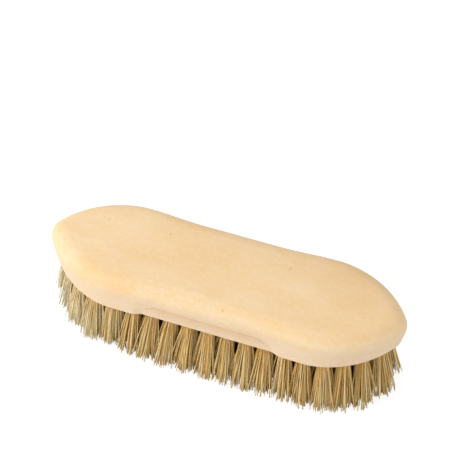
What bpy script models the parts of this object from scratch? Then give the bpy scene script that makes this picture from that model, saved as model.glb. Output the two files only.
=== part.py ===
"""Dandy brush: a one-piece wooden stock, drilled on its sole, and the tufts set in it.

Metres, +Z up, X along the brush. The origin is under the middle of the brush, in
the plane of the trimmed bristle tips that the brush stands on.
"""

import math
import random

import bmesh
import bpy
import numpy as np

MM = 0.001

# Stock: overall sizes and its two outlines, the sole's and the upper one above it
LENGTH = 210.0 * MM
THICKNESS = 19.0 * MM
TIP_RADIUS = 11.0 * MM
TIP_HALF_ANGLE = math.radians(31.5)
LOBE_AT = 57.0 * MM
UPPER_LOBE = 32.0 * MM
UPPER_WAIST = 30.4 * MM
UPPER_WAIST_STRAIGHT = 23.0 * MM
SOLE_TIP_INSET = 2.0 * MM
SOLE_LOBE = 33.7 * MM
SOLE_WAIST = 31.9 * MM
SOLE_WAIST_STRAIGHT = 37.5 * MM
SOLE_STEP_LENGTH = 6.5 * MM
LOBE_HANDLE = 12.0 * MM
TIP_HANDLE = 24.0 * MM

# Stock: heights over the sole, the rounded top edge and the finger grooves
UPPER_OUTLINE_HEIGHT = 10.0 * MM
TOP_EDGE_REACH = 10.0 * MM
SOLE_EDGE_BREAK = 0.6 * MM
FLANGE_HEIGHT = 5.0 * MM
FLANGE_END_HEIGHT = 1.6 * MM
FLANGE_LEAN = 0.6 * MM
GROOVE_FLOOR_RISE = 1.0 * MM
GROOVE_LIP_RISE = 2.7 * MM
GROOVE_DEPTH = 1.9 * MM
GROOVE_STRAIGHT = 29.0 * MM
GROOVE_END = 41.0 * MM

# Holes and what seats in them
HOLE_ACROSS = 6.4 * MM
HOLE_DEPTH = 12.0 * MM
HOLE_SIDES = 8
CLEARANCE = 0.3 * MM
ANCHOR_LENGTH = 7.8 * MM
ANCHOR_WIDTH = 2.4 * MM
ANCHOR_THICKNESS = 0.5 * MM
ANCHOR_ABOVE_FOLD = 2.0 * MM

# Where the holes are drilled
OUTER_TUFTS = 38
RING_EDGE_TIP = 10.5 * MM
RING_EDGE_LOBE = 7.3 * MM
RING_EDGE_WAIST = 7.0 * MM
RING_TIP_RADIUS = 9.0 * MM
MIDDLE_ROW_TUFTS = 9
MIDDLE_ROW_END_GAP = 17.3 * MM
SIDE_ROW_TUFTS = 6
SIDE_ROW_END_GAP = 32.5 * MM
SIDE_ROW_FROM_RING = 11.3 * MM

# Bristles
BRISTLE_LENGTH = 37.0 * MM
ROOT_PROUD = 0.5 * MM
ROOT_RIM = 0.28 * MM
STRANDS_ROUND = 6
STRAND_GAP = 0.37 * MM
STRAND_HALF_ANGLE = math.radians(22.0)
CORE_STRAND_RADIUS = 0.68 * MM
THICKENING_RATIO = 1.7
OUTER_FAN_RATIO = 2.3
INNER_FAN_RATIO = 3.0
SPREAD_ALONG_RATIO = 1.075
SPREAD_ACROSS_RATIO = 1.12
WAIST_LEAN = 2.0 * MM
TRIM_UNEVENNESS = 1.6 * MM
TIP_WANDER = 0.25 * MM
BRISTLE_SEED = 7

# Smoothness of the outlines and of the top edge
WAIST_POINTS = 6
STEP_POINTS = 3
LOBE_POINTS = 3
FLANK_POINTS = 10
TIP_POINTS = 4
TOP_EDGE_POINTS = 6

# Finishes
WOOD_COLOUR = (0.91, 0.68, 0.40)
WOOD_ROUGHNESS = 0.55
FIBRE_COLOUR = (0.43, 0.28, 0.12)
FIBRE_ROUGHNESS = 0.6
SHARP_ANGLE = math.radians(40.0)


def clear_scene():
    """Remove every object, so that the scene holds the brush alone."""
    for obj in list(bpy.data.objects):
        bpy.data.objects.remove(obj, do_unlink=True)


def make_material(name, colour, roughness):
    """A plain Principled material."""
    material = bpy.data.materials.new(name)
    material.use_nodes = True
    shader = material.node_tree.nodes["Principled BSDF"]
    shader.inputs["Base Color"].default_value = (*colour, 1.0)
    shader.inputs["Roughness"].default_value = roughness
    shader.inputs["Metallic"].default_value = 0.0
    return material


def add_object(name, mesh, material, location=(0.0, 0.0, 0.0)):
    """Put a mesh into the scene as a named object."""
    obj = bpy.data.objects.new(name, mesh)
    obj.location = location
    mesh.materials.append(material)
    bpy.context.scene.collection.objects.link(obj)
    return obj


def smooth_step(values, start, end):
    """0 before start, 1 after end, and a smooth S between them."""
    share = np.clip((values - start) / (end - start), 0.0, 1.0)
    return share * share * (3.0 - 2.0 * share)


def bezier(start, handle_1, handle_2, end, count):
    """Count points of a cubic curve, from just after its start to its end."""
    share = np.linspace(0.0, 1.0, count + 1)[1:, None]
    rest = 1.0 - share
    return (
        rest**3 * start
        + 3.0 * rest**2 * share * handle_1
        + 3.0 * rest * share**2 * handle_2
        + share**3 * end
    )


def waist_stations():
    """Distances from the middle at which both outlines have a point, up to the lobe."""
    step_end = SOLE_WAIST_STRAIGHT + SOLE_STEP_LENGTH
    waist = np.linspace(0.0, SOLE_WAIST_STRAIGHT, WAIST_POINTS)
    step = np.linspace(SOLE_WAIST_STRAIGHT, step_end, STEP_POINTS + 1)[1:]
    lobe = np.linspace(step_end, LOBE_AT, LOBE_POINTS)[1:]
    return np.concatenate([waist, step, lobe])


def outline(half_length, lobe, waist, step_start, step_end, tip_radius):
    """A waisted outline with two pointed lobes, anticlockwise from (0, -waist).

    The waist is straight, a smooth S leads out to each lobe at LOBE_AT, and a
    cubic curve runs from there into the arc of the tip.
    """
    stations = waist_stations()
    widths = waist + (lobe - waist) * smooth_step(stations, step_start, step_end)
    centre = np.array([half_length - tip_radius, 0.0])
    radial = np.array([math.cos(TIP_HALF_ANGLE), math.sin(TIP_HALF_ANGLE)])
    along = np.array([math.sin(TIP_HALF_ANGLE), -math.cos(TIP_HALF_ANGLE)])
    lobe_point = np.array([LOBE_AT, lobe])
    arc_start = centre + tip_radius * radial
    flank = bezier(
        lobe_point,
        lobe_point + np.array([LOBE_HANDLE, 0.0]),
        arc_start - TIP_HANDLE * along,
        arc_start,
        FLANK_POINTS,
    )
    angles = np.linspace(TIP_HALF_ANGLE, 0.0, TIP_POINTS + 1)[1:]
    arc = centre + tip_radius * np.column_stack([np.cos(angles), np.sin(angles)])
    quarter = np.vstack([np.column_stack([stations, widths]), flank, arc])
    front_right = quarter * (1.0, -1.0)
    right = np.vstack([front_right, quarter[-2::-1]])
    left = right[-2:0:-1] * (-1.0, 1.0)
    return np.vstack([right, left])


def inset(points, distance):
    """The closed outline moved inwards by a distance along its normals."""
    along = np.roll(points, -1, axis=0) - np.roll(points, 1, axis=0)
    along /= np.linalg.norm(along, axis=1)[:, None]
    inwards = np.column_stack([-along[:, 1], along[:, 0]])
    return points + inwards * distance


def sole_outline():
    """The outline of the sole: a straight flange between two short steps."""
    return outline(
        LENGTH / 2 - SOLE_TIP_INSET,
        SOLE_LOBE,
        SOLE_WAIST,
        SOLE_WAIST_STRAIGHT,
        SOLE_WAIST_STRAIGHT + SOLE_STEP_LENGTH,
        TIP_RADIUS,
    )


def upper_outline():
    """The outline at the foot of the rounded top edge, with its long soft waist."""
    return outline(
        LENGTH / 2,
        UPPER_LOBE,
        UPPER_WAIST,
        UPPER_WAIST_STRAIGHT,
        LOBE_AT,
        TIP_RADIUS,
    )


def ring(points, heights):
    """Points of an outline with their heights over the sole."""
    return np.column_stack([points, np.broadcast_to(heights, len(points))])


def wall_point(sole, upper, heights):
    """Points on the plain wall that rises from the sole's outline to the upper one."""
    share = (np.broadcast_to(heights, len(sole)) / UPPER_OUTLINE_HEIGHT)[:, None]
    return sole + (upper - sole) * share


def side_rings(sole, upper):
    """The rings of the side wall, with a finger groove along each side of the waist.

    The groove's weight is 1 along the waist and fades out before the lobes, where
    its rings lie on the plain wall. The flange under it dips to the sole there.
    """
    weight = 1.0 - smooth_step(np.abs(sole[:, 0]), GROOVE_STRAIGHT, GROOVE_END)
    blend = weight[:, None]
    flange_top = FLANGE_END_HEIGHT + (FLANGE_HEIGHT - FLANGE_END_HEIGHT) * weight
    groove_floor = flange_top + GROOVE_FLOOR_RISE
    groove_lip = flange_top + GROOVE_LIP_RISE
    flange = wall_point(sole, upper, flange_top)
    flange = flange + (inset(sole, FLANGE_LEAN) - flange) * blend
    floor = wall_point(sole, upper, groove_floor)
    floor = floor + (inset(sole, GROOVE_DEPTH) - floor) * blend
    lip = wall_point(sole, upper, groove_lip)
    lip = lip + (upper - lip) * blend
    return [
        ring(inset(sole, SOLE_EDGE_BREAK), 0.0),
        ring(sole, SOLE_EDGE_BREAK),
        ring(flange, flange_top),
        ring(floor, groove_floor),
        ring(lip, groove_lip),
        ring(upper, UPPER_OUTLINE_HEIGHT),
    ]


def top_rings(upper):
    """The rings of the rounded top edge, a quarter of an ellipse in section."""
    rise = THICKNESS - UPPER_OUTLINE_HEIGHT
    rings = []
    for step in range(1, TOP_EDGE_POINTS + 1):
        angle = math.pi / 2 * step / TOP_EDGE_POINTS
        inwards = TOP_EDGE_REACH * (1.0 - math.cos(angle))
        height = UPPER_OUTLINE_HEIGHT + rise * math.sin(angle)
        rings.append(ring(inset(upper, inwards), height))
    return rings


def loft(bm, rings):
    """Join closed rings of equal count, bottom to top, and cap both ends."""
    loops = [[bm.verts.new(point) for point in points] for points in rings]
    count = len(loops[0])
    for lower, upper in zip(loops, loops[1:]):
        for i in range(count):
            j = (i + 1) % count
            bm.faces.new((lower[i], lower[j], upper[j], upper[i]))
    bm.faces.new(loops[0][::-1])
    bm.faces.new(loops[-1])


def polygon(sides, across):
    """Corners of a regular polygon of that size across its flats, one flat facing +X."""
    corner_radius = across / 2 / math.cos(math.pi / sides)
    angles = [math.pi * (2 * i - 1) / sides for i in range(sides)]
    return [(corner_radius * math.cos(a), corner_radius * math.sin(a)) for a in angles]


def hole_section():
    """The hole's outline with the slots that the anchor's ends cut in its wall."""
    corners = polygon(HOLE_SIDES, HOLE_ACROSS)
    half_slot = ANCHOR_THICKNESS / 2 + CLEARANCE
    wall = HOLE_ACROSS / 2
    reach = ANCHOR_LENGTH / 2 + CLEARANCE
    slot = [(wall, -half_slot), (reach, -half_slot), (reach, half_slot), (wall, half_slot)]
    opposite = [(-x, -y) for x, y in slot]
    middle = HOLE_SIDES // 2
    return [corners[0], *slot, *corners[1 : middle + 1], *opposite, *corners[middle + 1 :]]


def even_row(count, half_length, y):
    """Hole centres evenly pitched from -half_length to half_length."""
    return [(x, y) for x in np.linspace(-half_length, half_length, count).tolist()]


def root_positions():
    """Hole centres on the sole by row name, each row in order along X."""
    half_length = LENGTH / 2 - SOLE_TIP_INSET - RING_EDGE_TIP
    half_width = SOLE_WAIST - RING_EDGE_WAIST
    ring_points = outline(
        half_length,
        SOLE_LOBE - RING_EDGE_LOBE,
        half_width,
        UPPER_WAIST_STRAIGHT,
        LOBE_AT,
        RING_TIP_RADIUS,
    )
    closed = np.vstack([ring_points, ring_points[:1]])
    lengths = np.linalg.norm(np.diff(closed, axis=0), axis=1)
    travelled = np.concatenate([[0.0], np.cumsum(lengths)])
    stops = travelled[-1] * np.arange(OUTER_TUFTS) / OUTER_TUFTS
    x = np.interp(stops, travelled, closed[:, 0])
    y = np.interp(stops, travelled, closed[:, 1])
    outer = sorted(zip(x.tolist(), y.tolist()))
    middle_end = half_length - MIDDLE_ROW_END_GAP
    side_end = half_length - SIDE_ROW_END_GAP
    side_y = half_width - SIDE_ROW_FROM_RING
    return {
        "front_edge_tuft": [point for point in outer if point[1] < 0.0],
        "back_edge_tuft": [point for point in outer if point[1] > 0.0],
        "front_row_tuft": even_row(SIDE_ROW_TUFTS, side_end, -side_y),
        "middle_row_tuft": even_row(MIDDLE_ROW_TUFTS, middle_end, 0.0),
        "back_row_tuft": even_row(SIDE_ROW_TUFTS, side_end, side_y),
    }


def make_hole_cutter(rows, material):
    """One helper that holds a prism for each hole, each longer than the hole."""
    section = hole_section()
    bm = bmesh.new()
    for x, y in (point for row in rows.values() for point in row):
        corners = np.array(section) + (x, y)
        loft(bm, [ring(corners, -HOLE_DEPTH), ring(corners, HOLE_DEPTH)])
    mesh = bpy.data.meshes.new("hole_cutter")
    bm.to_mesh(mesh)
    bm.free()
    cutter = add_object("hole_cutter", mesh, material, (0.0, 0.0, BRISTLE_LENGTH))
    cutter.hide_render = True
    cutter.display_type = "WIRE"
    return cutter


def make_stock(rows, material):
    """The stock: side wall, grooves and rounded top in one loft, and the drilled sole."""
    sole = sole_outline()
    upper = upper_outline()
    bm = bmesh.new()
    loft(bm, side_rings(sole, upper) + top_rings(upper))
    mesh = bpy.data.meshes.new("stock")
    bm.to_mesh(mesh)
    bm.free()
    stock = add_object("stock", mesh, material, (0.0, 0.0, BRISTLE_LENGTH))
    drilling = stock.modifiers.new("drilled holes", "BOOLEAN")
    drilling.operation = "DIFFERENCE"
    drilling.object = make_hole_cutter(rows, material)
    mesh.shade_smooth()
    mesh.set_sharp_from_angle(angle=SHARP_ANGLE)


def strand_sections(turn):
    """Root sections of a tuft's strands: a square core and wedges round it.

    The wedges reach out to a rim left on the root's face. Each section is
    (centre, corners about that centre).
    """
    core = [
        (CORE_STRAND_RADIUS * math.cos(a), CORE_STRAND_RADIUS * math.sin(a))
        for a in (turn + math.pi / 2 * i for i in range(4))
    ]
    sections = [(np.zeros(2), np.array(core))]
    inner = CORE_STRAND_RADIUS + STRAND_GAP
    outer = HOLE_ACROSS / 2 - CLEARANCE - ROOT_RIM
    for i in range(STRANDS_ROUND):
        angle = turn + 2.0 * math.pi * i / STRANDS_ROUND
        low = angle - STRAND_HALF_ANGLE
        high = angle + STRAND_HALF_ANGLE
        corners = np.array(
            [
                (inner * math.cos(angle), inner * math.sin(angle)),
                (outer * math.cos(low), outer * math.sin(low)),
                (outer * math.cos(high), outer * math.sin(high)),
            ]
        )
        centre = corners.mean(axis=0)
        sections.append((centre, corners - centre))
    return sections


def add_strands(bm, lean, fan, chance):
    """Straight strands from the root's face down to the trim.

    The strands of a tuft fan out about its axis and none crosses another: every
    section moves outwards faster than it thickens. Returns the root loops' edges.
    """
    root_edges = []
    for centre, corners in strand_sections(chance.uniform(0.0, math.pi)):
        is_core = not centre.any()
        wander = np.array([chance.uniform(-TIP_WANDER, TIP_WANDER) for _ in range(2)])
        uneven = 0.0 if is_core else max(0.0, chance.uniform(-1.0, 1.0)) * TRIM_UNEVENNESS
        tip_centre = centre * fan + lean + (0.0 if is_core else wander)
        root = ring(corners + centre, -ROOT_PROUD)
        tip = ring(corners * THICKENING_RATIO + tip_centre, uneven - BRISTLE_LENGTH)
        root_loop = [bm.verts.new(point) for point in root]
        tip_loop = [bm.verts.new(point) for point in tip]
        count = len(root_loop)
        for i in range(count):
            j = (i + 1) % count
            bm.faces.new((tip_loop[i], tip_loop[j], root_loop[j], root_loop[i]))
            root_edges.append(bm.edges.get((root_loop[i], root_loop[j])))
        bm.faces.new(tip_loop[::-1])
    return root_edges


def add_anchor_end(bm, wall_corners, side):
    """One end of the flat wire anchor, standing out of the root's wall on +X or -X.

    The wall's face is left out by the caller, and four faces close it round the wire.
    """
    high = HOLE_DEPTH - CLEARANCE - ANCHOR_ABOVE_FOLD
    low = high - ANCHOR_WIDTH
    half = ANCHOR_THICKNESS / 2 * side
    wall = (HOLE_ACROSS / 2 - CLEARANCE) * side
    end = ANCHOR_LENGTH / 2 * side
    section = ((-half, low), (half, low), (half, high), (-half, high))
    inner = [bm.verts.new((wall, y, z)) for y, z in section]
    outer = [bm.verts.new((end, y, z)) for y, z in section]
    for i in range(4):
        j = (i + 1) % 4
        bm.faces.new((wall_corners[i], wall_corners[j], inner[j], inner[i]))
        bm.faces.new((inner[i], inner[j], outer[j], outer[i]))
    bm.faces.new(outer)


def make_tuft_mesh(name, lean, fan, chance):
    """A tuft: its folded root, which fills the hole, the anchor's ends and its strands."""
    bm = bmesh.new()
    corners = np.array(polygon(HOLE_SIDES, HOLE_ACROSS - 2 * CLEARANCE))
    mouth = [bm.verts.new(point) for point in ring(corners, -ROOT_PROUD)]
    fold = [bm.verts.new(point) for point in ring(corners, HOLE_DEPTH - CLEARANCE)]
    rim_edges = []
    for i in range(HOLE_SIDES):
        j = (i + 1) % HOLE_SIDES
        wall_corners = (mouth[i], mouth[j], fold[j], fold[i])
        rim_edges.append(bm.edges.new((mouth[i], mouth[j])))
        if i == 0:
            add_anchor_end(bm, wall_corners, 1.0)
        elif i == HOLE_SIDES // 2:
            add_anchor_end(bm, wall_corners, -1.0)
        else:
            bm.faces.new(wall_corners)
    bm.faces.new(fold)
    root_edges = add_strands(bm, lean, fan, chance)
    bmesh.ops.triangle_fill(bm, edges=rim_edges + root_edges, use_beauty=True)
    bmesh.ops.recalc_face_normals(bm, faces=bm.faces)
    mesh = bpy.data.meshes.new(name)
    bm.to_mesh(mesh)
    bm.free()
    return mesh


def tuft_lean(x, y, is_edge):
    """How far a tuft's tips stand out from over its root, a little more along the waist."""
    lean = np.array([x * (SPREAD_ALONG_RATIO - 1.0), y * (SPREAD_ACROSS_RATIO - 1.0)])
    if is_edge:
        waist = 1.0 - float(smooth_step(abs(x), UPPER_WAIST_STRAIGHT, LOBE_AT))
        lean[1] += math.copysign(WAIST_LEAN * waist, y)
    return lean


def make_tufts(rows, material):
    """Every tuft as its own object, with its origin at the mouth of its hole."""
    chance = random.Random(BRISTLE_SEED)
    for row, points in rows.items():
        is_edge = "edge" in row
        fan = OUTER_FAN_RATIO if is_edge else INNER_FAN_RATIO
        for number, (x, y) in enumerate(points, start=1):
            name = f"{row}_{number:02d}"
            mesh = make_tuft_mesh(name, tuft_lean(x, y, is_edge), fan, chance)
            add_object(name, mesh, material, (x, y, BRISTLE_LENGTH))


def main():
    """Build the brush."""
    clear_scene()
    rows = root_positions()
    wood = make_material("bare_wood", WOOD_COLOUR, WOOD_ROUGHNESS)
    fibre = make_material("stiff_fibre", FIBRE_COLOUR, FIBRE_ROUGHNESS)
    make_stock(rows, wood)
    make_tufts(rows, fibre)


main()
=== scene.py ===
"""Dandy brush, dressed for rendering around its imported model.

Metres, in the model's own frame: +X along the brush, +Z up, z = 0 at the bristle
tips. The stock is one surface carried round the brush, the tufts are bundles of
fibres, and both wear procedural finishes.
"""

import logging
import math
from dataclasses import dataclass
from enum import Enum

import bpy
import numpy as np
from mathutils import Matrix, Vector
from numpy.typing import NDArray


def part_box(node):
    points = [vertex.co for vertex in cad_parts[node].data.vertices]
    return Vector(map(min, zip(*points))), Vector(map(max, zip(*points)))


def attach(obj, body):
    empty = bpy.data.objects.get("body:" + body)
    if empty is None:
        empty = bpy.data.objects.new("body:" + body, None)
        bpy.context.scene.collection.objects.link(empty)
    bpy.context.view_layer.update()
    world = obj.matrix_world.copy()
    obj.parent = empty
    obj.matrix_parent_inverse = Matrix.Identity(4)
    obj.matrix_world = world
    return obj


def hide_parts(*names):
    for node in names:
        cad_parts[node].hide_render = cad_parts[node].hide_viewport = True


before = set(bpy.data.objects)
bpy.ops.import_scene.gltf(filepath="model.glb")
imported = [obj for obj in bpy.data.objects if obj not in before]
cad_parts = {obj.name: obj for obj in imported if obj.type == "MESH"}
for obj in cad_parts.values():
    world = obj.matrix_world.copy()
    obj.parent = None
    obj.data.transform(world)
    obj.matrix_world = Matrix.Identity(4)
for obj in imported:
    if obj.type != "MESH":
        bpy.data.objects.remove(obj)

Array = NDArray[np.float64]
Colour = tuple[float, float, float]
FlatPlace = tuple[float, float]
MM = 0.001
LEAST_LENGTH = 1e-6
CORNER_LEG_SHARE = 0.45
BODY = "root"
log = logging.getLogger("dandy_brush")


class Slot(Enum):
    """The record's material slots."""

    WOOD = "bare_wood"
    FIBRE = "stiff_fibre"


class TuftRow(Enum):
    """The rows in which the tufts stand, by the start of their nodes' names."""

    FRONT_EDGE = "front_edge"
    BACK_EDGE = "back_edge"
    FRONT_ROW = "front_row"
    MIDDLE_ROW = "middle_row"
    BACK_ROW = "back_row"

    @property
    def is_edge(self) -> bool:
        """Whether the row belongs to the ring along the brush's edge."""
        return self in (TuftRow.FRONT_EDGE, TuftRow.BACK_EDGE)


def smooth_step(values: Array, start: float, end: float) -> Array:
    """A smooth S: share^2 (3 - 2 share), where share runs from 0 at start to 1 at end.

    Args:
        values: Where to work it out.
        start: The last value that gives 0.
        end: The first value that gives 1.

    Returns:
        The weights, from 0 to 1.
    """
    share = np.clip((values - start) / (end - start), 0.0, 1.0)
    return share * share * (3.0 - 2.0 * share)


def ring_at(points: Array, heights: Array | float) -> Array:
    """Give the points of a flat outline their heights.

    Args:
        points: The outline, as an array of count by 2.
        heights: One height for all, or one for each point.

    Returns:
        The ring, as an array of count by 3.
    """
    return np.column_stack([points, np.broadcast_to(heights, len(points))])


def inset(points: Array, distance: float) -> Array:
    """Move a closed outline inwards along its normals.

    The normal at a point is square to the line between its two neighbours.

    Args:
        points: The outline, anticlockwise, as an array of count by 2.
        distance: How far inwards each point moves.

    Returns:
        The moved outline.
    """
    along = np.roll(points, -1, axis=0) - np.roll(points, 1, axis=0)
    along /= np.linalg.norm(along, axis=1, keepdims=True)
    inwards = np.column_stack([-along[:, 1], along[:, 0]])
    return points + inwards * distance


def rounded_corner(before: Array, corner: Array, after: Array, radius: float, count: int) -> Array:
    """Round the corner between two legs of a profile, for all its stations at once.

    The curve is (1 - t)^2 A + 2 t (1 - t) C + t^2 B, where C is the corner, and A and
    B lie on the two legs, at the radius from it or at 45% of a shorter leg.

    Args:
        before: The ring before the corner.
        corner: The ring that is rounded away.
        after: The ring after the corner.
        radius: How far from the corner the curve starts and ends.
        count: How many rings the curve gets.

    Returns:
        The rings, as an array of count by stations by 3.
    """

    def on_leg(end: Array) -> Array:
        """The point on the leg towards end where the curve meets it."""
        leg = end - corner
        length = np.maximum(np.linalg.norm(leg, axis=1, keepdims=True), LEAST_LENGTH)
        return corner + leg * np.minimum(radius / length, CORNER_LEG_SHARE)

    share = np.linspace(0.0, 1.0, count)[:, None, None]
    rest = 1.0 - share
    return rest**2 * on_leg(before) + 2.0 * share * rest * corner + share**2 * on_leg(after)


def add_attribute(mesh: bpy.types.Mesh, name: str, values: Array) -> None:
    """Give a mesh one number at each of its vertices, in the vertices' order."""
    attribute = mesh.attributes.new(name, "FLOAT", "POINT")
    attribute.data.foreach_set("value", np.ascontiguousarray(values, dtype=np.float32).ravel())


def add_piece(
    name: str, mesh: bpy.types.Mesh, material: bpy.types.Material
) -> bpy.types.Object:
    """Put a mesh into the scene as a piece that rides on the brush.

    Args:
        name: The piece's name.
        mesh: Its mesh, already in place.
        material: Its finish.

    Returns:
        The new object.
    """
    piece = bpy.data.objects.new(name, mesh)
    mesh.materials.clear()
    mesh.materials.append(material)
    bpy.context.scene.collection.objects.link(piece)
    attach(piece, BODY)
    return piece


class ShaderBench:
    """A material's node tree, with short calls that add nodes and join them."""

    noise_shift: Colour = (0.37, 0.41, 0.29)

    def __init__(self, name: str) -> None:
        """Start a material with its Principled shader.

        Args:
            name: The material's name.
        """
        self.material = bpy.data.materials.new(name)
        self.material.use_nodes = True
        self.nodes = self.material.node_tree.nodes
        self.links = self.material.node_tree.links
        self.shader = self.nodes["Principled BSDF"]

    def add(self, kind: str, **inputs: object) -> bpy.types.Node:
        """Add a node and set or join its inputs.

        Args:
            kind: The node's type.
            inputs: For each input's name, a socket to join or a value to set.

        Returns:
            The node.
        """
        node = self.nodes.new(kind)
        for name, value in inputs.items():
            self.feed(node.inputs[name.replace("_", " ")], value)
        return node

    def feed(self, socket: bpy.types.NodeSocket, value: object) -> None:
        """Join a socket to another, or set it to a value."""
        if isinstance(value, bpy.types.NodeSocket):
            self.links.new(value, socket)
        else:
            socket.default_value = value

    def mix(
        self, share: object, first: object, second: object, blend: str = "MIX"
    ) -> bpy.types.NodeSocket:
        """Mix two colours.

        Args:
            share: How much of the second colour, as a socket or a number.
            first: A socket or a colour.
            second: A socket or a colour.
            blend: How the second colour goes on the first.

        Returns:
            The mixed colour's socket.
        """
        node = self.nodes.new("ShaderNodeMix")
        node.data_type = "RGBA"
        node.blend_type = blend
        self.feed(node.inputs[0], share)
        for index, colour in ((6, first), (7, second)):
            joined = isinstance(colour, bpy.types.NodeSocket)
            self.feed(node.inputs[index], colour if joined else (*colour, 1.0))
        return node.outputs[2]

    def math(self, operation: str, first: object, second: object = 0.0) -> bpy.types.NodeSocket:
        """Combine two numbers, each a socket or a value, by one operation of a Math node."""
        node = self.nodes.new("ShaderNodeMath")
        node.operation = operation
        self.feed(node.inputs[0], first)
        self.feed(node.inputs[1], second)
        return node.outputs[0]

    def remap(
        self, value: object, low: float, high: float, to_low: float = 0.0, to_high: float = 1.0
    ) -> bpy.types.NodeSocket:
        """Map the range from low to high onto the one from to_low to to_high, clamped."""
        node = self.add(
            "ShaderNodeMapRange",
            Value=value,
            From_Min=low,
            From_Max=high,
            To_Min=to_low,
            To_Max=to_high,
        )
        return node.outputs["Result"]

    def coordinates(self) -> bpy.types.NodeSocket:
        """The piece's own coordinates."""
        return self.nodes.new("ShaderNodeTexCoord").outputs["Object"]

    def noise(
        self, stretch: Colour, scale: float, detail: float, roughness: float
    ) -> bpy.types.NodeSocket:
        """Noise on the piece's own coordinates, moved off the planes where its layers are all flat.

        Args:
            stretch: How fast it varies along X, Y and Z.
            scale: Its scale, in features to a metre before the stretch.
            detail: How many finer layers it has.
            roughness: How strong the finer layers are.

        Returns:
            The noise's value, from 0 to 1.
        """
        start = tuple(shift / scale for shift in self.noise_shift)
        mapping = self.add(
            "ShaderNodeMapping", Vector=self.coordinates(), Scale=stretch, Location=start
        )
        node = self.add(
            "ShaderNodeTexNoise",
            Vector=mapping.outputs["Vector"],
            Scale=scale,
            Detail=detail,
            Roughness=roughness,
        )
        return node.outputs[0]

    def attribute(self, name: str) -> bpy.types.NodeSocket:
        """The value of one of the mesh's attributes."""
        node = self.nodes.new("ShaderNodeAttribute")
        node.attribute_name = name
        return node.outputs["Fac"]

    def bump(self, height: bpy.types.NodeSocket, strength: float, distance: float) -> None:
        """Roughen the surface by a height, in metres times the distance."""
        node = self.add("ShaderNodeBump", Height=height, Strength=strength, Distance=distance)
        self.links.new(node.outputs["Normal"], self.shader.inputs["Normal"])


@dataclass(frozen=True)
class NoiseLayer:
    """A layer of noise, and the range of it that counts.

    Its stretch, scale, detail and roughness are those of the bench's noise.
    """

    stretch: Colour
    scale: float
    detail: float
    low: float
    high: float
    share: float = 1.0
    roughness: float = 0.5

    def noise(self, bench: ShaderBench) -> bpy.types.NodeSocket:
        """The noise itself, from 0 to 1."""
        return bench.noise(self.stretch, self.scale, self.detail, self.roughness)

    def weight(self, bench: ShaderBench, noise: bpy.types.NodeSocket) -> bpy.types.NodeSocket:
        """How much of the layer shows: 0 where its noise is low, and its share where it is high."""
        return bench.remap(noise, self.low, self.high, 0.0, self.share)


@dataclass(frozen=True)
class Spots:
    """Soft round spots of one colour, at their places seen from above."""

    colour: Colour
    radius: float
    strength: float
    places: tuple[FlatPlace, ...]

    def over(
        self, bench: ShaderBench, colour: bpy.types.NodeSocket, share: object = 1.0
    ) -> bpy.types.NodeSocket:
        """Lay the spots over a colour.

        A spot has its strength in its middle, whatever the height, and fades straight
        to 0 at its radius.

        Args:
            bench: The material's bench.
            colour: The colour under the spots.
            share: How much of the spots shows, as a socket or a number.

        Returns:
            The colour with the spots on it.
        """
        for place in self.places:
            flat = bench.nodes.new("ShaderNodeVectorMath")
            flat.operation = "MULTIPLY"
            bench.feed(flat.inputs[0], bench.coordinates())
            bench.feed(flat.inputs[1], (1.0, 1.0, 0.0))
            distance = bench.nodes.new("ShaderNodeVectorMath")
            distance.operation = "DISTANCE"
            bench.feed(distance.inputs[0], flat.outputs["Vector"])
            bench.feed(distance.inputs[1], (*place, 0.0))
            weight = bench.remap(distance.outputs["Value"], 0.0, self.radius, self.strength, 0.0)
            colour = bench.mix(bench.math("MULTIPLY", weight, share), colour, self.colour)
        return colour


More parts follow.
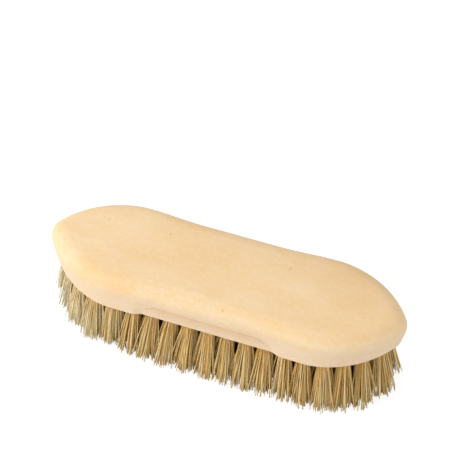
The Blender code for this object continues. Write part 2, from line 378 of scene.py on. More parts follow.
@dataclass(frozen=True)
class BareWood:
    """Sanded pale wood without varnish, its grain along X.

    It has a painted highlight along the front of the top's rounded edge, a painted sheen that
    makes the wall paler and pinker, and painted shade that darkens it towards the back and
    along the groove's floor, with golden blotches, pale scuffs, pin knots and specks.
    """

    warm: Colour = (0.90, 0.638, 0.364)
    pale: Colour = (0.935, 0.722, 0.483)
    cloud: NoiseLayer = NoiseLayer((1.0, 2.0, 2.0), 14.0, 2.0, low=0.35, high=0.65)
    # Painted highlight: a paler colour on the front of the top's rounded edge.
    edge: Colour = (0.925, 0.71, 0.462)
    painted_highlight_from: float = 17.5 * MM
    painted_highlight_to: float = 15.0 * MM
    painted_highlight_back: float = 12.0 * MM
    painted_highlight_front: float = -8.0 * MM
    # Painted sheen: the wall's paler, pinker colour stands in for the sheen the sides catch.
    wall: Colour = (0.865, 0.667, 0.483)
    wall_sheen_from: float = 15.0 * MM
    wall_sheen_to: float = 9.0 * MM
    # Painted shade: the wood darkens towards the back, as the light falls off.
    back: Colour = (0.90, 0.86, 0.80)
    falloff_shade_slope: float = 0.15
    falloff_shade_from: float = 3.0 * MM
    falloff_shade_to: float = 34.0 * MM
    # Painted shade along the groove's floor, read from the stock's attribute.
    painted_groove_shade: Colour = (0.86, 0.80, 0.75)
    streak: Colour = (0.965, 0.935, 0.84)
    streaks: NoiseLayer = NoiseLayer(
        (1.0, 9.0, 9.0), 40.0, 5.0, low=0.35, high=0.7, share=0.4, roughness=0.6
    )
    mottle: Colour = (0.98, 0.945, 0.82)
    mottling: NoiseLayer = NoiseLayer(
        (1.0, 1.5, 1.5), 110.0, 3.0, low=0.42, high=0.66, share=0.5, roughness=0.6
    )
    grain: Colour = (0.97, 0.93, 0.76)
    grains: NoiseLayer = NoiseLayer(
        (1.0, 1.5, 1.5), 330.0, 2.0, low=0.4, high=0.6, share=0.5, roughness=0.6
    )
    fleck_from: float = 0.48
    fleck_to: float = 0.38
    pore: Colour = (0.86, 0.74, 0.60)
    pores: NoiseLayer = NoiseLayer((1.0, 9.0, 9.0), 420.0, 2.0, low=0.62, high=0.74)
    pore_strength: float = 0.35
    blotches: Spots = Spots(
        colour=(0.90, 0.57, 0.25),
        radius=16.0 * MM,
        strength=0.6,
        places=((-55.0 * MM, -30.0 * MM), (-73.0 * MM, -24.0 * MM)),
    )
    scuffs: Spots = Spots(
        colour=(0.94, 0.77, 0.58),
        radius=14.0 * MM,
        strength=0.5,
        places=((-34.0 * MM, -26.0 * MM), (-13.0 * MM, -27.0 * MM), (5.0 * MM, -29.0 * MM)),
    )
    knots: Spots = Spots(
        colour=(0.60, 0.34, 0.12),
        radius=0.9 * MM,
        strength=0.7,
        places=((-37.8 * MM, 12.9 * MM), (33.8 * MM, 12.6 * MM), (7.9 * MM, -26.5 * MM)),
    )
    specks: Spots = Spots(
        colour=(0.60, 0.34, 0.12),
        radius=1.1 * MM,
        strength=0.4,
        places=(
            (-98.5 * MM, -4.5 * MM),
            (-93.0 * MM, -10.0 * MM),
            (-74.5 * MM, 12.0 * MM),
            (82.0 * MM, -6.5 * MM),
        ),
    )
    smooth_streak: float = 0.3
    rough_streak: float = 0.7
    smooth: float = 0.52
    rough: float = 0.64
    streak_relief: float = 0.6
    relief_strength: float = 0.25
    relief_depth: float = 0.06 * MM

    def make(self, sole: float) -> bpy.types.Material:
        """Make the material, which reads the stock's attribute for the painted shade in the groove.

        Args:
            sole: The height of the sole, which the ranges of the painted edge highlight and the
                painted wall sheen start from.

        Returns:
            The material.
        """
        bench = ShaderBench("bare_wood")
        along, across, height = bench.add(
            "ShaderNodeSeparateXYZ", Vector=bench.coordinates()
        ).outputs
        cloud = self.cloud.weight(bench, self.cloud.noise(bench))
        colour = bench.mix(cloud, self.warm, self.pale)
        # Painted highlight on the front of the top's rounded edge.
        edge = bench.remap(height, sole + self.painted_highlight_from, sole + self.painted_highlight_to)
        front = bench.remap(across, self.painted_highlight_back, self.painted_highlight_front)
        colour = bench.mix(bench.math("MULTIPLY", edge, front), colour, self.edge)
        colour = self.blotches.over(bench, colour)
        grains = self.grains.noise(bench)
        flecks = bench.remap(grains, self.fleck_from, self.fleck_to)
        colour = self.scuffs.over(bench, colour, flecks)
        # Painted sheen on the wall.
        wall = bench.remap(height, sole + self.wall_sheen_from, sole + self.wall_sheen_to)
        colour = bench.mix(wall, colour, self.wall)
        # Painted shade, darker towards the back.
        falloff_distance = bench.math("ADD", across, bench.math("MULTIPLY", along, self.falloff_shade_slope))
        streaks = self.streaks.noise(bench)
        pits = self.pores.weight(bench, self.pores.noise(bench))
        for weight, tint in (
            (bench.remap(falloff_distance, self.falloff_shade_from, self.falloff_shade_to), self.back),
            # Painted shade along the groove's floor.
            (bench.attribute("painted_groove_shade"), self.painted_groove_shade),
            (self.streaks.weight(bench, streaks), self.streak),
            (self.mottling.weight(bench, self.mottling.noise(bench)), self.mottle),
            (self.grains.weight(bench, grains), self.grain),
            (bench.math("MULTIPLY", pits, self.pore_strength), self.pore),
        ):
            colour = bench.mix(weight, colour, tint, "MULTIPLY")
        colour = self.knots.over(bench, colour)
        colour = self.specks.over(bench, colour)
        roughness = bench.remap(
            streaks, self.smooth_streak, self.rough_streak, self.smooth, self.rough
        )
        bench.feed(bench.shader.inputs["Base Color"], colour)
        bench.feed(bench.shader.inputs["Roughness"], roughness)
        relief = bench.math("SUBTRACT", bench.math("MULTIPLY", streaks, self.streak_relief), pits)
        bench.bump(relief, self.relief_strength, self.relief_depth)
        return bench.material


@dataclass(frozen=True)
class StiffFibre:
    """Stiff natural fibre: each strand has its own tone, darker at the root by painted shade and
    paler at the tip by painted light.
    """

    tones: tuple[tuple[float, Colour], ...] = (
        (0.0, (0.53, 0.30, 0.06)),
        (0.25, (0.765, 0.51, 0.17)),
        (0.5, (0.885, 0.655, 0.295)),
        (0.8, (0.875, 0.70, 0.375)),
        (1.0, (1.0, 0.91, 0.66)),
    )
    # Painted shade: the strands darken towards the root, under the stock.
    root: Colour = (0.91, 0.80, 0.61)
    root_shade_from: float = 0.05
    root_shade_to: float = 0.6
    root_shade_strength: float = 0.9
    # Painted light: the strands grow paler towards the tip.
    painted_tip_light: Colour = (0.5, 0.20, 0.06)
    tip_light_from: float = 0.5
    streak: Colour = (0.80, 0.68, 0.50)
    streaks: NoiseLayer = NoiseLayer(
        (6.0, 6.0, 1.0), 260.0, 2.0, low=0.45, high=0.7, share=0.5
    )
    roughness: float = 0.6
    shine: float = 0.0
    relief_strength: float = 0.2
    relief_depth: float = 0.05 * MM

    def make(self) -> bpy.types.Material:
        """Make the material, which reads the strands' tone and along attributes."""
        bench = ShaderBench("stiff_fibre")
        along = bench.attribute("along")
        ramp = bench.add("ShaderNodeValToRGB", Fac=bench.attribute("tone"))
        elements = ramp.color_ramp.elements
        for index, (place, tone) in enumerate(self.tones):
            element = elements[index] if index < len(elements) else elements.new(place)
            element.position = place
            element.color = (*tone, 1.0)
        # Painted shade towards the root.
        root = bench.remap(along, self.root_shade_from, self.root_shade_to, self.root_shade_strength, 0.0)
        colour = bench.mix(root, ramp.outputs["Color"], self.root, "MULTIPLY")
        # Painted light towards the tip.
        colour = bench.mix(bench.remap(along, self.tip_light_from, 1.0), colour, self.painted_tip_light, "SCREEN")
        streaks = self.streaks.noise(bench)
        colour = bench.mix(self.streaks.weight(bench, streaks), colour, self.streak, "MULTIPLY")
        bench.feed(bench.shader.inputs["Base Color"], colour)
        bench.feed(bench.shader.inputs["Roughness"], self.roughness)
        bench.feed(bench.shader.inputs["Specular IOR Level"], self.shine)
        bench.bump(streaks, self.relief_strength, self.relief_depth)
        return bench.material


@dataclass(frozen=True)
class StudioFloor:
    """A plain pale floor that the camera sees as white, with the brush's soft shadow."""

    colour: Colour = (0.80, 0.80, 0.80)
    glow: float = 0.80
    seen_colour: Colour = (0.34, 0.34, 0.34)

    def make(self) -> bpy.types.Material:
        """Make the material: plain for the light, and a glow under a weak shade for the camera."""
        bench = ShaderBench("studio_floor")
        bench.nodes.remove(bench.shader)
        plain = bench.add("ShaderNodeBsdfDiffuse", Color=(*self.colour, 1.0))
        shaded = bench.add("ShaderNodeBsdfDiffuse", Color=(*self.seen_colour, 1.0))
        glow = bench.add("ShaderNodeEmission", Color=(1.0, 1.0, 1.0, 1.0), Strength=self.glow)
        seen = bench.nodes.new("ShaderNodeAddShader")
        bench.feed(seen.inputs[0], shaded.outputs[0])
        bench.feed(seen.inputs[1], glow.outputs[0])
        mixed = bench.nodes.new("ShaderNodeMixShader")
        bench.feed(mixed.inputs[0], eye_rays(bench.nodes, bench.links))
        bench.feed(mixed.inputs[1], plain.outputs[0])
        bench.feed(mixed.inputs[2], seen.outputs[0])
        bench.feed(bench.nodes["Material Output"].inputs["Surface"], mixed.outputs[0])
        return bench.material


def eye_rays(nodes: bpy.types.Nodes, links: bpy.types.NodeLinks) -> bpy.types.NodeSocket:
    """A socket that is 1 for rays from the camera, and for what gloss and glass show."""
    path = nodes.new("ShaderNodeLightPath")
    total = path.outputs["Is Camera Ray"]
    for name in ("Is Glossy Ray", "Is Transmission Ray"):
        node = nodes.new("ShaderNodeMath")
        node.operation = "MAXIMUM"
        links.new(total, node.inputs[0])
        links.new(path.outputs[name], node.inputs[1])
        total = node.outputs[0]
    return total


@dataclass(frozen=True)
class Outline:
    """One waisted outline of the stock, seen from above, with two pointed lobes."""

    half_length: float
    lobe: float
    waist: float
    step_start: float
    step_end: float
    tip_radius: float = 11.0 * MM
    tip_half_angle: float = math.radians(31.5)
    lobe_at: float = 57.0 * MM
    lobe_handle: float = 12.0 * MM
    tip_handle: float = 24.0 * MM
    waist_points: int = 90
    flank_points: int = 50
    tip_points: int = 20

    def points(self) -> Array:
        """Work out the outline, anticlockwise from the middle of its front.

        Half the width at x is waist + (lobe - waist) S(x), with S the smooth step
        between the two ends of the step. From the lobe a cubic curve
        (1-t)^3 P + 3 t (1-t)^2 Q + 3 t^2 (1-t) R + t^3 T leads into the tip's arc.

        Returns:
            The points, as an array of count by 2.
        """
        stations = np.linspace(0.0, self.lobe_at, self.waist_points)
        step = smooth_step(stations, self.step_start, self.step_end)
        waist = np.column_stack([stations, self.waist + (self.lobe - self.waist) * step])
        angles = np.linspace(self.tip_half_angle, 0.0, self.tip_points)
        centre = np.array([self.half_length - self.tip_radius, 0.0])
        arc = centre + self.tip_radius * np.column_stack([np.cos(angles), np.sin(angles)])
        tangent = np.array([math.sin(self.tip_half_angle), -math.cos(self.tip_half_angle)])
        start = waist[-1]
        handle_1 = start + np.array([self.lobe_handle, 0.0])
        handle_2 = arc[0] - self.tip_handle * tangent
        share = np.linspace(0.0, 1.0, self.flank_points)[1:-1, None]
        rest = 1.0 - share
        flank = (
            rest**3 * start
            + 3.0 * rest**2 * share * handle_1
            + 3.0 * rest * share**2 * handle_2
            + share**3 * arc[0]
        )
        quarter = np.vstack([waist, flank, arc])
        right = np.vstack([quarter * (1.0, -1.0), quarter[-2::-1]])
        left = right[-2:0:-1] * (-1.0, 1.0)
        return np.vstack([right, left])


@dataclass
class Stock:
    """The one-piece wooden stock: rounded top, finger grooves, flange and drilled sole."""

    sole_height: float
    thickness: float
    half_length: float
    sole_lobe: float
    sole_waist: float = 31.9 * MM
    sole_waist_straight: float = 37.5 * MM
    sole_step_length: float = 6.5 * MM
    sole_tip_inset: float = 2.0 * MM
    upper_lobe: float = 32.0 * MM
    upper_waist: float = 30.4 * MM
    upper_waist_straight: float = 23.0 * MM
    upper_height: float = 10.0 * MM
    top_edge_reach: float = 10.0 * MM
    flange_height: float = 5.0 * MM
    flange_end_height: float = 1.6 * MM
    flange_lean: float = 0.6 * MM
    groove_floor_rise: float = 1.0 * MM
    groove_lip_rise: float = 2.7 * MM
    groove_depth: float = 1.9 * MM
    groove_straight: float = 29.0 * MM
    groove_end: float = 41.0 * MM
    rim_radius: float = 0.4 * MM
    flange_radius: float = 1.2 * MM
    floor_radius: float = 0.9 * MM
    lip_radius: float = 1.2 * MM
    shoulder_radius: float = 2.5 * MM
    # How far the painted shade in the groove spreads above and below its floor.
    groove_shade_above: float = 0.9 * MM
    groove_shade_below: float = 2.6 * MM
    corner_rings: int = 6
    top_edge_rings: int = 18
    support: float = 0.6 * MM
    hole_radius: float = 3.1 * MM
    hole_depth: float = 4.0 * MM
    hole_sides: int = 24
    sharp_angle: float = math.radians(38.0)

    @classmethod
    def from_frame(cls) -> "Stock":
        """Take the stock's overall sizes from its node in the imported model."""
        low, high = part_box("stock")
        return cls(
            sole_height=low.z,
            thickness=high.z - low.z,
            half_length=(high.x - low.x) / 2,
            sole_lobe=(high.y - low.y) / 2,
        )

    @property
    def top_height(self) -> float:
        """The height of the flat top."""
        return self.sole_height + self.thickness

    def build(self, material: bpy.types.Material, holes: Array) -> bpy.types.Object:
        """Build the stock in place of its node.

        Args:
            material: The wood.
            holes: The centres of the tuft holes, as an array of count by 2.

        Returns:
            The stock's object.
        """
        mesh = self._solid()
        piece = add_piece("wooden_stock", mesh, material)
        self._drill(piece, holes)
        piece.data.shade_smooth()
        piece.data.set_sharp_from_angle(angle=self.sharp_angle)
        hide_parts("stock")
        return piece

    def _profile(self) -> tuple[Array, Array]:
        """Work out the stock's surface, ring over ring, from the sole's rim to the flat top.

        The side goes from the sole's outline up the flange, in along the groove's floor
        and out to its lip, each weighted by the groove's smooth fade along X, and on
        the lobes straight up the wall. The top edge is a quarter of an ellipse:
        in = reach (1 - cos a), up = rise sin a. The corners between are rounded. The
        painted shade along the groove's floor is weight exp(-((z - floor) / spread)^2), and
        spreads further down the flange.

        Returns:
            The rings over the sole, as an array of rings by stations by 3, and how much
            painted shade along the groove's floor each of their points gets.
        """
        sole = Outline(
            self.half_length - self.sole_tip_inset,
            self.sole_lobe,
            self.sole_waist,
            self.sole_waist_straight,
            self.sole_waist_straight + self.sole_step_length,
        ).points()
        upper = Outline(
            self.half_length,
            self.upper_lobe,
            self.upper_waist,
            self.upper_waist_straight,
            Outline.lobe_at,
        ).points()

        def wall(height: Array) -> Array:
            """The plain wall between the two outlines, at each station's height."""
            return sole + (upper - sole) * (height / self.upper_height)[:, None]

        weight = 1.0 - smooth_step(np.abs(sole[:, 0]), self.groove_straight, self.groove_end)
        blend = weight[:, None]
        flange_top = self.flange_end_height + (self.flange_height - self.flange_end_height) * weight
        floor_at = flange_top + self.groove_floor_rise
        lip_at = flange_top + self.groove_lip_rise
        flange = wall(flange_top) * (1.0 - blend) + inset(sole, self.flange_lean) * blend
        floor = wall(floor_at) * (1.0 - blend) + inset(sole, self.groove_depth) * blend
        lip = wall(lip_at) * (1.0 - blend) + upper * blend
        angles = np.linspace(0.0, math.pi / 2, self.top_edge_rings + 1)[2:]
        rise = self.thickness - self.upper_height
        edge = [
            ring_at(
                inset(upper, self.top_edge_reach * (1.0 - math.cos(angle))),
                self.upper_height + rise * math.sin(angle),
            )
            for angle in angles
        ]
        inner_sole = ring_at(inset(sole, self.rim_radius + 2.0 * self.support), 0.0)
        corners = [
            (inner_sole, 0.0),
            (ring_at(sole, 0.0), self.rim_radius),
            (ring_at(flange, flange_top), self.flange_radius),
            (ring_at(floor, floor_at), self.floor_radius),
            (ring_at(lip, lip_at), self.lip_radius),
            (ring_at(upper, self.upper_height), self.shoulder_radius),
            (edge[0], 0.0),
        ]
        rings = [inner_sole[None]]
        for (before, _), (corner, radius), (after, _) in zip(corners, corners[1:], corners[2:]):
            rings.append(rounded_corner(before, corner, after, radius, self.corner_rings))
        rings.append(np.array(edge))
        flat = ring_at(inset(upper, self.top_edge_reach + self.support), self.thickness)
        rings.append(flat[None])
        surface = np.concatenate(rings)
        # Painted shade along the groove's floor, spreading further down the flange.
        over_floor = surface[..., 2] - floor_at
        spread = np.where(over_floor > 0.0, self.groove_shade_above, self.groove_shade_below)
        painted_groove_shade = weight * np.exp(-((over_floor / spread) ** 2))
        return surface, painted_groove_shade

    def _solid(self) -> bpy.types.Mesh:
        """Make the stock's closed mesh: quads between the rings, and a flat cap at each end.

        The top is closed by strips from its front to its back, because long slivers along
        it would catch their own shadow.
        """
        rings, painted_groove_shade = self._profile()
        rings = rings + (0.0, 0.0, self.sole_height)
        levels, count = rings.shape[:2]
        index = np.arange(levels * count).reshape(levels, count)
        ahead = np.roll(index, -1, axis=1)
        quads = np.stack([index[:-1], ahead[:-1], ahead[1:], index[1:]], axis=-1).reshape(-1, 4)
        quarter = count // 4
        front = np.arange(-quarter, quarter + 1)
        back = 2 * quarter - front
        strips = index[-1][np.column_stack([front[:-1], front[1:], back[1:], back[:-1]]) % count]
        faces = [*quads.tolist(), index[0, ::-1].tolist()]
        faces += [list(dict.fromkeys(strip)) for strip in strips.tolist()]
        mesh = bpy.data.meshes.new("wooden_stock")
        mesh.from_pydata(rings.reshape(-1, 3), [], faces)
        # The painted shade along the groove's floor rides on the mesh for the wood.
        add_attribute(mesh, "painted_groove_shade", painted_groove_shade)
        return mesh

    def _drill(self, piece: bpy.types.Object, holes: Array) -> None:
        """Cut the mouths of the tuft holes into the sole, and keep the result as the mesh."""
        cutter_mesh = bpy.data.meshes.new("hole_cutter")
        vertices, faces = self._prisms(holes)
        cutter_mesh.from_pydata(vertices, [], faces)
        cutter = bpy.data.objects.new("hole_cutter", cutter_mesh)
        bpy.context.scene.collection.objects.link(cutter)
        drilling = piece.modifiers.new("drilled holes", "BOOLEAN")
        drilling.operation = "DIFFERENCE"
        drilling.object = cutter
        evaluated = piece.evaluated_get(bpy.context.evaluated_depsgraph_get())
        drilled = bpy.data.meshes.new_from_object(evaluated)
        piece.modifiers.clear()
        piece.data = drilled
        drilled.name = "wooden_stock"
        bpy.data.objects.remove(cutter, do_unlink=True)

    def _prisms(self, holes: Array) -> tuple[Array, list[list[int]]]:
        """Work out one upright round prism for each hole.

        A prism's corners lie at centre + radius (cos a, sin a), on two levels.

        Args:
            holes: The centres of the holes.

        Returns:
            The vertices and the faces.
        """
        sides = self.hole_sides
        angles = 2.0 * math.pi * np.arange(sides) / sides
        circle = self.hole_radius * np.column_stack([np.cos(angles), np.sin(angles)])
        heights = self.sole_height + self.hole_depth * np.array([-1.0, 1.0])
        flat = np.broadcast_to(holes[:, None, None, :] + circle, (len(holes), 2, sides, 2))
        level = np.broadcast_to(heights[None, :, None, None], (len(holes), 2, sides, 1))
        vertices = np.concatenate([flat, level], axis=-1).reshape(-1, 3)
        index = np.arange(len(vertices)).reshape(len(holes), 2, sides)
        ahead = np.roll(index, -1, axis=2)
        walls = np.stack([index[:, 0], ahead[:, 0], ahead[:, 1], index[:, 1]], axis=-1)
        faces = walls.reshape(-1, 4).tolist()
        faces += index[:, 0, ::-1].tolist()
        faces += index[:, 1].tolist()
        return vertices, faces


@dataclass(frozen=True)
class FibreLaw:
    """How the fibres of a tuft are laid, how thick they are and how they are trimmed."""

    fibres: int
    fan: float
    waist_lean: float = 0.0
    root_radius: float = 2.65 * MM
    root_depth: float = 3.0 * MM
    spread_along: float = 1.055
    spread_across: float = 1.12
    spread_power: float = 0.95
    sweep: float = -1.3 * MM
    twist: float = -0.022
    tuft_drift: float = 0.7 * MM
    clumps: int = 8
    clump_drift: float = 0.7 * MM
    clump_pinch: float = 0.35
    scatter: float = 0.6 * MM
    loose_share: float = 0.4
    loose_scatter: float = 2.4 * MM
    bow: float = 0.3 * MM
    kink: float = 0.08 * MM
    stray_share: float = 0.03
    stray_least: float = 0.3
    stray_reach: float = 3.2 * MM
    reach_along: float = 11.5 * MM
    reach_across: float = 8.2 * MM
    reach_least: float = 0.85
    thin: float = 0.24 * MM
    thick: float = 0.42 * MM
    taper: float = 0.2
    trim_scatter: float = 0.6 * MM
    tone_scatter: float = 0.25
    tuft_tone_scatter: float = 0.05
    stations: int = 5
    sides: int = 3


@dataclass
class Tuft:
    """One tuft of fibres, from inside its hole down to the trim."""

    name: str
    root: Array
    law: FibreLaw
    sole_height: float
    trim: float
    tone: float
    seed: int
    node: str | None = None

    def build(self, material: bpy.types.Material) -> bpy.types.Object:
        """Build the tuft, in place of its node where it has one.

        Args:
            material: The fibre.

        Returns:
            The tuft's object.
        """
        chance = np.random.default_rng(self.seed)
        centres, along = self._centre_lines(chance)
        mesh = self._mesh(centres, along, chance)
        piece = add_piece(self.name, mesh, material)
        if self.node is not None:
            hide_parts(self.node)
        return piece

    def _centre_lines(self, chance: np.random.Generator) -> tuple[Array, Array]:
        """Work out the line of each fibre, from its root to its tip.

        Roots fill the hole as a sunflower's seeds do: root i lies at the radius
        R sqrt((i + 1/2) / n) and the golden angle times i. A fibre goes from its root
        to fan times that place, drawn in towards its clump's middle and moved by the
        lean, the tuft's and the clump's drift and its own scatter, by the share t^p of
        the way. No tip lies outside an ellipse round the tuft's middle, its half axes the
        two reaches. A fibre bows by a sin(pi t) + b sin(2 pi t).

        Args:
            chance: The tuft's own random numbers.

        Returns:
            The lines, as fibres by stations by 3, and the share of the way at each station.
        """
        law = self.law
        count = law.fibres
        order = np.arange(count)
        radius = law.root_radius * np.sqrt((order + 0.5) / count)
        angle = order * math.pi * (3.0 - math.sqrt(5.0)) + chance.uniform(0.0, 2.0 * math.pi)
        seat = radius[:, None] * np.column_stack([np.cos(angle), np.sin(angle)])
        picked = seat[chance.permutation(count)[: law.clumps]]
        clump = np.argmin(np.linalg.norm(seat[:, None] - picked[None], axis=2), axis=1)
        member = (clump[:, None] == np.arange(law.clumps)).astype(float)
        middle = (member.T @ seat / member.sum(axis=0)[:, None])[clump]
        drift = chance.normal(0.0, law.clump_drift, (law.clumps, 2))[clump]
        loose = chance.uniform(0.0, 1.0, count) < law.loose_share
        spread = np.where(loose, law.loose_scatter, law.scatter)
        scatter = spread[:, None] * chance.normal(0.0, 1.0, (count, 2))
        end = (seat + (middle - seat) * law.clump_pinch) * law.fan + drift + scatter
        stray = chance.uniform(0.0, 1.0, count) < law.stray_share
        outwards = end / np.maximum(np.linalg.norm(end, axis=1, keepdims=True), LEAST_LENGTH)
        strayed = stray * chance.uniform(law.stray_least, 1.0, count) * law.stray_reach
        end += outwards * strayed[:, None]
        reached = np.linalg.norm(end / (law.reach_along, law.reach_across), axis=1, keepdims=True)
        reach = chance.uniform(law.reach_least, 1.0, (count, 1))
        end *= np.minimum(reach / np.maximum(reached, LEAST_LENGTH), 1.0)
        end += self._lean() + chance.uniform(-1.0, 1.0, 2) * law.tuft_drift
        share = np.linspace(0.0, 1.0, law.stations)
        half, whole = (np.sin(turns * math.pi * share)[None, :, None] for turns in (1.0, 2.0))
        bow = chance.normal(0.0, law.bow, (count, 1, 2)) * half
        kink = chance.normal(0.0, law.kink, (count, 1, 2)) * whole
        way = (share**law.spread_power)[None, :, None]
        flat = self.root + seat[:, None] + (end - seat)[:, None] * way + bow + kink
        start = self.sole_height + law.root_depth
        finish = self.trim + np.abs(chance.normal(0.0, law.trim_scatter, count))
        height = start + (finish - start)[:, None] * share[None]
        return np.concatenate([flat, height[..., None]], axis=-1), share

    def _lean(self) -> Array:
        """How far the tips stand out from over the root.

        Root (x, y) leans by ((a - 1) x, (b - 1) y), and more along the waist. All tips
        are swept along X and turned about Z by the twist: (-twist y, twist x).
        """
        law = self.law
        beyond = smooth_step(np.abs(self.root[:1]), Stock.upper_waist_straight, Outline.lobe_at)
        waist_lean = law.waist_lean * (1.0 - float(beyond[0]))
        lean = self.root * (law.spread_along - 1.0, law.spread_across - 1.0)
        turned = law.twist * np.array([-self.root[1], self.root[0]])
        return lean + turned + (law.sweep, math.copysign(waist_lean, self.root[1]))

    def _mesh(self, centres: Array, along: Array, chance: np.random.Generator) -> bpy.types.Mesh:
        """Make the fibres' mesh: a slim tapered prism round each line.

        A prism's corners lie at centre + r (1 - taper t) (cos a, sin a).

        Args:
            centres: The lines of the fibres.
            along: The share of the way at each station.
            chance: The tuft's own random numbers.

        Returns:
            The mesh, with the fibres' tone and the share of the way as attributes.
        """
        law = self.law
        count, stations = centres.shape[:2]
        radius = chance.uniform(law.thin, law.thick, count)[:, None] * (1.0 - law.taper * along)
        turn = chance.uniform(0.0, 2.0 * math.pi, count)
        angles = turn[:, None] + 2.0 * math.pi * np.arange(law.sides) / law.sides
        corner = np.stack([np.cos(angles), np.sin(angles), np.zeros_like(angles)], axis=-1)
        points = centres[:, :, None] + corner[:, None] * radius[:, :, None, None]
        index = np.arange(count * stations * law.sides).reshape(count, stations, law.sides)
        ahead = np.roll(index, -1, axis=2)
        upper, lower = index[:, :-1], index[:, 1:]
        walls = np.stack([lower, ahead[:, 1:], ahead[:, :-1], upper], axis=-1).reshape(-1, 4)
        faces = [*walls.tolist(), *index[:, 0].tolist(), *index[:, -1, ::-1].tolist()]
        mesh = bpy.data.meshes.new(self.name)
        mesh.from_pydata(points.reshape(-1, 3), [], faces)
        mesh.shade_smooth()
        tone = chance.normal(self.tone, law.tone_scatter, count)
        tone = np.clip(tone + chance.normal(0.0, law.tuft_tone_scatter), 0.0, 1.0)
        tones = np.broadcast_to(tone[:, None, None], index.shape)
        ways = np.broadcast_to(along[None, :, None], index.shape)
        add_attribute(mesh, "tone", tones)
        add_attribute(mesh, "along", ways)
        return mesh


@dataclass
class BristleField:
    """All the tufts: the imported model's, the ones half way between them, and two fillers."""

    sole_height: float
    edge_law: FibreLaw
    splayed_law: FibreLaw
    leaning_law: FibreLaw
    inner_law: FibreLaw
    least_pitch: float = 7.0 * MM
    seated_margin: float = 1.0 * MM
    fillers: tuple[FlatPlace, ...] = ((-4.7 * MM, -6.8 * MM), (4.7 * MM, 6.8 * MM))
    splayed_from: float = 50.0 * MM
    leaning_from: float = 82.0 * MM
    worn_from: float = 60.0 * MM
    worn_to: float = 104.0 * MM
    worn_height: float = 5.5 * MM
    # Painted light: the tufts towards the left end get a paler tone, for the light that falls on
    # them there.
    painted_light_from: float = 44.0 * MM
    painted_light_to: float = 76.0 * MM
    tone: float = 0.5
    painted_light_tone: float = 1.0
    first_seed: int = 100

    def tufts(self) -> list[Tuft]:
        """List the tufts, each with its own seed.

        Returns:
            The tufts, row by row, then the ones between them and the fillers.
        """
        found = [
            (row, node, self._root_of(node))
            for row in TuftRow
            for node in sorted(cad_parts)
            if node.startswith(f"{row.value}_tuft_")
        ]
        tufts = [
            self._tuft(node.replace("tuft", "fibres"), row, root, number, node)
            for number, (row, node, root) in enumerate(found)
        ]
        taken = np.array([root for _, _, root in found])
        for row in TuftRow:
            if row.is_edge:
                continue
            roots = np.array([root for its_row, _, root in found if its_row is row])
            for number, root in enumerate(self._between(roots, taken), start=1):
                name = f"{row.value}_between_{number:02d}"
                tufts.append(self._tuft(name, row, root, len(tufts), None))
        for number, place in enumerate(self.fillers, start=1):
            name = f"middle_row_filler_{number:02d}"
            tufts.append(self._tuft(name, TuftRow.MIDDLE_ROW, np.array(place), len(tufts), None))
        return tufts

    def _tuft(self, name: str, row: TuftRow, root: Array, number: int, node: str | None) -> Tuft:
        """Make one tuft's entry, with the law, the trim and the tone that its place has."""
        worn, pale = (
            float(smooth_step(-root[:1], start, end)[0])
            for start, end in ((self.worn_from, self.worn_to), (self.painted_light_from, self.painted_light_to))
        )
        law = self.edge_law
        if not row.is_edge:
            law = self.inner_law
        elif -root[0] > self.splayed_from:
            law = self.splayed_law
        elif root[0] > self.leaning_from:
            law = self.leaning_law
        trim = self.worn_height * worn
        # Painted light: paler tone towards the left end.
        tone = self.tone + (self.painted_light_tone - self.tone) * pale
        return Tuft(name, root, law, self.sole_height, trim, tone, self.first_seed + number, node)

    def _root_of(self, node: str) -> Array:
        """Find the middle of a tuft's root, from the part of its node over the sole."""
        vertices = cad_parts[node].data.vertices
        points = np.empty(len(vertices) * 3)
        vertices.foreach_get("co", points)
        points = points.reshape(-1, 3)
        seated = points[points[:, 2] > self.sole_height + self.seated_margin, :2]
        return (seated.min(axis=0) + seated.max(axis=0)) / 2

    def _between(self, roots: Array, taken: Array) -> Array:
        """Work out the places half way between a row's tufts, and half a pitch past its ends.

        Args:
            roots: The row's roots, in order along X.
            taken: The roots of all the model's tufts.

        Returns:
            The places that keep the least pitch to every tuft.
        """
        pitch = roots[1, 0] - roots[0, 0]
        along = np.append(roots[:, 0] - pitch / 2, roots[-1, 0] + pitch / 2)
        places = np.column_stack([along, np.full(len(along), roots[0, 1])])
        gaps = np.linalg.norm(places[:, None] - taken[None], axis=2).min(axis=1)
        return places[gaps > self.least_pitch]


@dataclass(frozen=True)
class SoftLight:
    """One square soft light that faces the brush."""

    name: str
    place: tuple[float, float, float]
    side: float
    power: float
    colour: Colour = (1.0, 1.0, 1.0)

    def build(self, target: Vector) -> None:
        """Put the light into the scene, facing the target."""
        lamp = bpy.data.lights.new(self.name, "AREA")
        lamp.size = self.side
        lamp.energy = self.power
        lamp.color = self.colour
        light = bpy.data.objects.new(self.name, lamp)
        light.location = self.place
        light.rotation_euler = (target - light.location).to_track_quat("-Z", "Y").to_euler()
        bpy.context.scene.collection.objects.link(light)


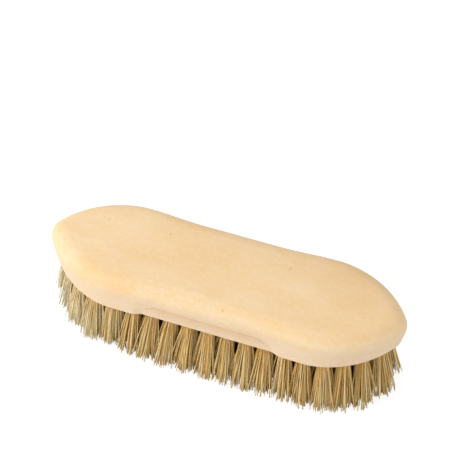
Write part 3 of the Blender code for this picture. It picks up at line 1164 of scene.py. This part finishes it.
@dataclass(frozen=True)
class PhotoCamera:
    """The camera at the photograph's place, with its focal length for a 36 mm sensor."""

    azimuth: float = math.radians(19.892)
    elevation: float = math.radians(49.75)
    distance: float = 891.6 * MM
    shift_across: float = -2.56 * MM
    shift_up: float = -33.94 * MM
    lens: float = 123.7
    sensor: float = 36.0
    sees_to: float = 20.0

    def build(self, sole_height: float) -> None:
        """Put the camera into the scene.

        It stands at back x distance - right x shift_across - up x shift_up, over the
        middle of the sole.

        Args:
            sole_height: The height of the sole, which the place is measured from.
        """
        back = Vector(
            (
                math.sin(self.azimuth) * math.cos(self.elevation),
                -math.cos(self.azimuth) * math.cos(self.elevation),
                math.sin(self.elevation),
            )
        )
        right = (-back).cross(Vector((0.0, 0.0, 1.0))).normalized()
        up = right.cross(-back)
        lens = bpy.data.cameras.new("photo_camera")
        lens.lens = self.lens
        lens.sensor_width = self.sensor
        lens.clip_end = self.sees_to
        camera = bpy.data.objects.new("photo_camera", lens)
        place = Vector((0.0, 0.0, sole_height)) + back * self.distance
        camera.location = place - right * self.shift_across - up * self.shift_up
        camera.rotation_euler = (math.pi / 2 - self.elevation, 0.0, self.azimuth)
        bpy.context.scene.collection.objects.link(camera)
        bpy.context.scene.camera = camera


@dataclass(frozen=True)
class Studio:
    """The floor, the world and the lights."""

    floor_half_width: float = 3.0
    floor_gap: float = 0.2 * MM
    aim: tuple[float, float, float] = (0.0, 0.0, 30.0 * MM)
    world_colour: Colour = (1.0, 1.0, 1.0)
    world_level: float = 0.59
    lights: tuple[SoftLight, ...] = (
        SoftLight("key_light", (-1.0, -0.5, 0.85), 0.8, 7.6, (1.0, 0.985, 0.965)),
        SoftLight("low_light", (-0.95, -0.95, 0.15), 0.6, 4.5, (1.0, 1.0, 1.0)),
        SoftLight("back_light", (-0.5, 0.6, 1.2), 0.9, 3.0, (1.0, 0.985, 0.965)),
        SoftLight("fill_light", (1.2, -0.4, 0.4), 0.9, 3.3, (1.0, 1.0, 1.0)),
    )

    def build(self) -> None:
        """Put the floor, the world and the lights into the scene."""
        half = self.floor_half_width
        sides = ((-half, -half), (half, -half), (half, half), (-half, half))
        corners = [(x, y, -self.floor_gap) for x, y in sides]
        mesh = bpy.data.meshes.new("studio_floor")
        mesh.from_pydata(corners, [], [(0, 1, 2, 3)])
        mesh.materials.append(StudioFloor().make())
        floor = bpy.data.objects.new("studio_floor", mesh)
        bpy.context.scene.collection.objects.link(floor)
        self._world()
        for light in self.lights:
            light.build(Vector(self.aim))

    def _world(self) -> None:
        """Make the world: plain white to the eye, and at the plain level to the surfaces."""
        world = bpy.data.worlds.new("studio_world")
        world.use_nodes = True
        nodes = world.node_tree.nodes
        links = world.node_tree.links
        level = nodes.new("ShaderNodeMapRange")
        level.inputs["To Min"].default_value = self.world_level
        level.inputs["To Max"].default_value = 1.0
        links.new(eye_rays(nodes, links), level.inputs["Value"])
        background = nodes["Background"]
        background.inputs["Color"].default_value = (*self.world_colour, 1.0)
        links.new(level.outputs["Result"], background.inputs["Strength"])
        bpy.context.scene.world = world


def main() -> None:
    """Dress the brush, and set the camera, the floor and the light."""
    logging.basicConfig(level=logging.INFO, format="%(name)s: %(message)s")
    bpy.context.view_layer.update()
    stock = Stock.from_frame()
    wood = BareWood().make(stock.sole_height)
    fibre = StiffFibre().make()
    bristles = BristleField(
        sole_height=stock.sole_height,
        edge_law=FibreLaw(fibres=200, fan=2.75, waist_lean=2.4 * MM),
        splayed_law=FibreLaw(
            fibres=340,
            fan=2.5,
            root_radius=2.85 * MM,
            spread_along=1.0,
            spread_across=1.05,
            sweep=-4.2 * MM,
            spread_power=0.6,
            clump_pinch=0.1,
            clump_drift=0.4 * MM,
            loose_share=0.6,
            loose_scatter=2.4 * MM,
            thin=0.2 * MM,
            thick=0.36 * MM,
            trim_scatter=1.8 * MM,
            tone_scatter=0.16,
        ),
        leaning_law=FibreLaw(fibres=190, fan=2.65, spread_along=1.06, spread_across=1.33),
        inner_law=FibreLaw(fibres=190, fan=3.3),
    )
    tufts = bristles.tufts()
    piece = stock.build(wood, np.array([tuft.root for tuft in tufts]))
    log.info("%s has %d faces", piece.name, len(piece.data.polygons))
    for tuft in tufts:
        piece = tuft.build(fibre)
        log.info("%s has %d fibres", piece.name, tuft.law.fibres)
    PhotoCamera().build(stock.sole_height)
    Studio().build()
    bpy.context.scene.view_settings.view_transform = "Standard"


if __name__ == "__main__":
    main()
